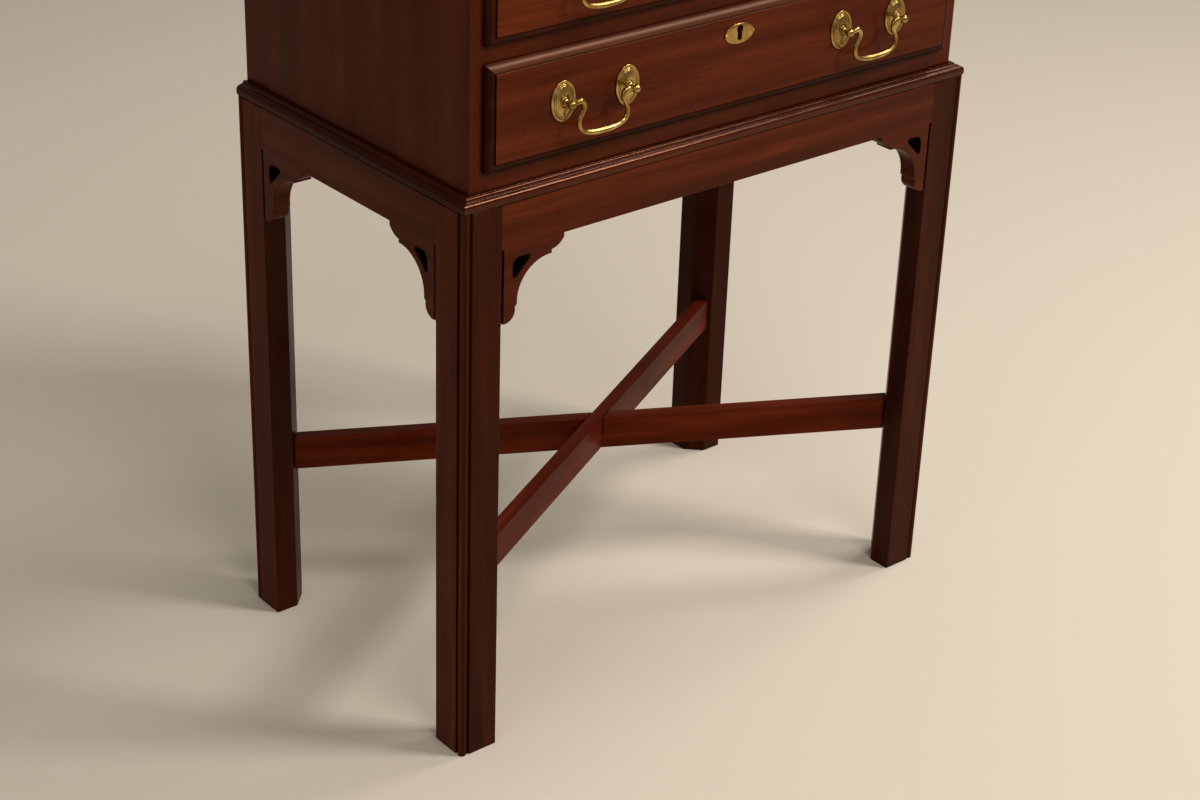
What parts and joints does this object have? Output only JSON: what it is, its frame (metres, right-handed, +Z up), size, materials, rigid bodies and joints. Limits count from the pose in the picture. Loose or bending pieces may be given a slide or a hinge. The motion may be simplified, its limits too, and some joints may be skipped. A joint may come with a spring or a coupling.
{
  "type": "flatware chest on stand",
  "caption": "Lift-top flatware chest with lipped drawers, swan-neck bail pulls and locks, on a stand of square beaded legs with pierced brackets and crossed stretchers.",
  "frame": {"origin": "on the floor, under the middle of the chest's box", "axes": "+Z up, +X to the right along the front, -Y out of the front"},
  "size_m": [0.58, 0.3568, 0.8636],
  "materials": {
    "mahogany": "dark red-brown mahogany under a satin lacquer",
    "drawer_wood": "pale secondary wood, sanded and thinly sealed",
    "brass": "aged polished brass with dark recesses",
    "lining": "dark brown tarnish-proof felt"
  },
  "bodies": {
    "chest": {"leg_front_left": "mahogany", "leg_front_right": "mahogany", "leg_rear_left": "mahogany", "leg_rear_right": "mahogany", "apron_front": "mahogany", "apron_rear": "mahogany", "apron_left": "mahogany", "apron_right": "mahogany", "bracket_front_left": "mahogany", "bracket_front_right": "mahogany", "bracket_left_front": "mahogany", "bracket_left_rear": "mahogany", "bracket_right_front": "mahogany", "bracket_right_rear": "mahogany", "stretcher_over": "mahogany", "stretcher_under": "mahogany", "moulding_front": "mahogany", "moulding_left": "mahogany", "moulding_right": "mahogany", "case_side_left": "mahogany", "case_side_right": "mahogany", "case_back": "drawer_wood", "case_floor": "drawer_wood", "rail_bottom": "mahogany", "rail_middle": "mahogany", "runner_left": "drawer_wood", "runner_right": "drawer_wood", "well_front": "mahogany", "flatware_insert": "lining", "hinge_leaf_case": "brass"},
    "lid": {"lid": "mahogany", "hinge_leaf_lid": "brass"},
    "drawer_lower": {"drawer_lower_front": "mahogany", "drawer_lower_side_left": "drawer_wood", "drawer_lower_side_right": "drawer_wood", "drawer_lower_back": "drawer_wood", "drawer_lower_bottom": "drawer_wood", "drawer_lower_lock": "brass", "drawer_lower_escutcheon": "brass", "drawer_lower_post_left_left": "brass", "drawer_lower_post_left_right": "brass", "drawer_lower_post_right_left": "brass", "drawer_lower_post_right_right": "brass"},
    "drawer_upper": {"drawer_upper_front": "mahogany", "drawer_upper_side_left": "drawer_wood", "drawer_upper_side_right": "drawer_wood", "drawer_upper_back": "drawer_wood", "drawer_upper_bottom": "drawer_wood", "drawer_upper_lock": "brass", "drawer_upper_escutcheon": "brass", "drawer_upper_post_left_left": "brass", "drawer_upper_post_left_right": "brass", "drawer_upper_post_right_left": "brass", "drawer_upper_post_right_right": "brass"},
    "bail_lower_left": {"drawer_lower_bail_left": "brass"},
    "bail_lower_right": {"drawer_lower_bail_right": "brass"},
    "bail_upper_left": {"drawer_upper_bail_left": "brass"},
    "bail_upper_right": {"drawer_upper_bail_right": "brass"},
    "bolt_lower": {"drawer_lower_lock_bolt": "brass"},
    "bolt_upper": {"drawer_upper_lock_bolt": "brass"}
  },
  "joints": [
    {"name": "lid_hinge", "type": "hinge", "parent": "chest", "child": "lid", "pos_m": [0, 0.17583, 0.84375], "axis": [-1, 0, 0], "range_deg": [0, 100]},
    {"name": "drawer_lower_slide", "type": "slide", "parent": "chest", "child": "drawer_lower", "axis": [0, -1, 0], "range_m": [0, 0.22]},
    {"name": "drawer_upper_slide", "type": "slide", "parent": "chest", "child": "drawer_upper", "axis": [0, -1, 0], "range_m": [0, 0.22]},
    {"name": "bail_lower_left_swing", "type": "hinge", "parent": "drawer_lower", "child": "bail_lower_left", "pos_m": [-0.1565, -0.17457, 0.6003], "axis": [-1, 0, 0], "range_deg": [-12, 110]},
    {"name": "bail_lower_right_swing", "type": "hinge", "parent": "drawer_lower", "child": "bail_lower_right", "pos_m": [0.1565, -0.17457, 0.6003], "axis": [-1, 0, 0], "range_deg": [-12, 110]},
    {"name": "bail_upper_left_swing", "type": "hinge", "parent": "drawer_upper", "child": "bail_upper_left", "pos_m": [-0.1565, -0.17457, 0.7063], "axis": [-1, 0, 0], "range_deg": [-12, 110]},
    {"name": "bail_upper_right_swing", "type": "hinge", "parent": "drawer_upper", "child": "bail_upper_right", "pos_m": [0.1565, -0.17457, 0.7063], "axis": [-1, 0, 0], "range_deg": [-12, 110]},
    {"name": "bolt_lower_slide", "type": "slide", "parent": "drawer_lower", "child": "bolt_lower", "axis": [0, 0, 1], "range_m": [0, 0.006]},
    {"name": "bolt_upper_slide", "type": "slide", "parent": "drawer_upper", "child": "bolt_upper", "axis": [0, 0, 1], "range_m": [0, 0.006]}
  ]
}
